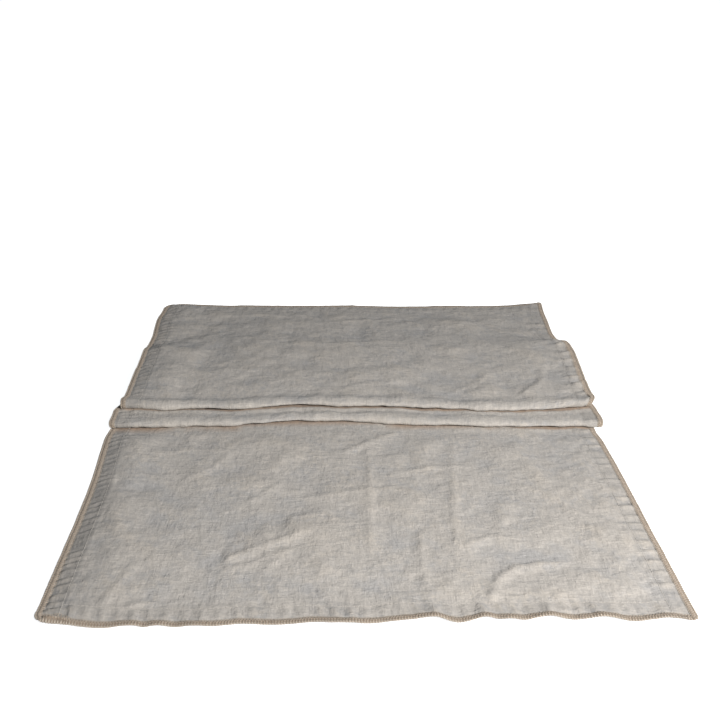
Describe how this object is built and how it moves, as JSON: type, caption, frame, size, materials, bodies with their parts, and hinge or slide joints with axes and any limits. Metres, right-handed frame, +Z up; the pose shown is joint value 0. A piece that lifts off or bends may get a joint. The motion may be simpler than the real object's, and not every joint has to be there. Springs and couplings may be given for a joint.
{
  "type": "table runner",
  "caption": "Long narrow linen cloth for a table top, laid out flat and shortened by two pleats across its width, with topstitched hems and overlocked edges all round.",
  "frame": {"origin": "at the height of the table top, under the middle of the cloth as it lies", "axes": "+Y along the runner's length towards the end that climbs over the pleats, +X across its width, +Z up"},
  "size_m": [0.5, 0.624, 0.0164],
  "materials": {
    "linen": "stone-washed linen in plain weave, warm pale grey, matt, with slubs, soft creases and a slightly uneven washed-out colour",
    "hem_linen": "the same linen turned under as a hem, puckered by its row of stitches and a little darker in the puckers",
    "hem_thread": "fine spun sewing thread in the colour of the cloth, matt",
    "overlock_thread": "woolly looper thread in sand, laid side by side across the edge, matt and slightly fuzzy",
    "overlock_needle_thread": "fine spun sewing thread, a little paler than the looper threads"
  },
  "bodies": {
    "root": {"linen_panel": "linen", "left_hem": "hem_linen", "right_hem": "hem_linen", "front_hem": "hem_linen", "back_hem": "hem_linen", "left_hem_top_thread": "hem_thread", "left_hem_bobbin_thread": "hem_thread", "right_hem_top_thread": "hem_thread", "right_hem_bobbin_thread": "hem_thread", "front_hem_top_thread": "hem_thread", "front_hem_bobbin_thread": "hem_thread", "back_hem_top_thread": "hem_thread", "back_hem_bobbin_thread": "hem_thread", "left_overlock_upper_looper": "overlock_thread", "left_overlock_lower_looper": "overlock_thread", "left_overlock_needle_thread": "overlock_needle_thread", "right_overlock_upper_looper": "overlock_thread", "right_overlock_lower_looper": "overlock_thread", "right_overlock_needle_thread": "overlock_needle_thread", "front_overlock_upper_looper": "overlock_thread", "front_overlock_lower_looper": "overlock_thread", "front_overlock_needle_thread": "overlock_needle_thread", "back_overlock_upper_looper": "overlock_thread", "back_overlock_lower_looper": "overlock_thread", "back_overlock_needle_thread": "overlock_needle_thread"}
  },
  "joints": []
}
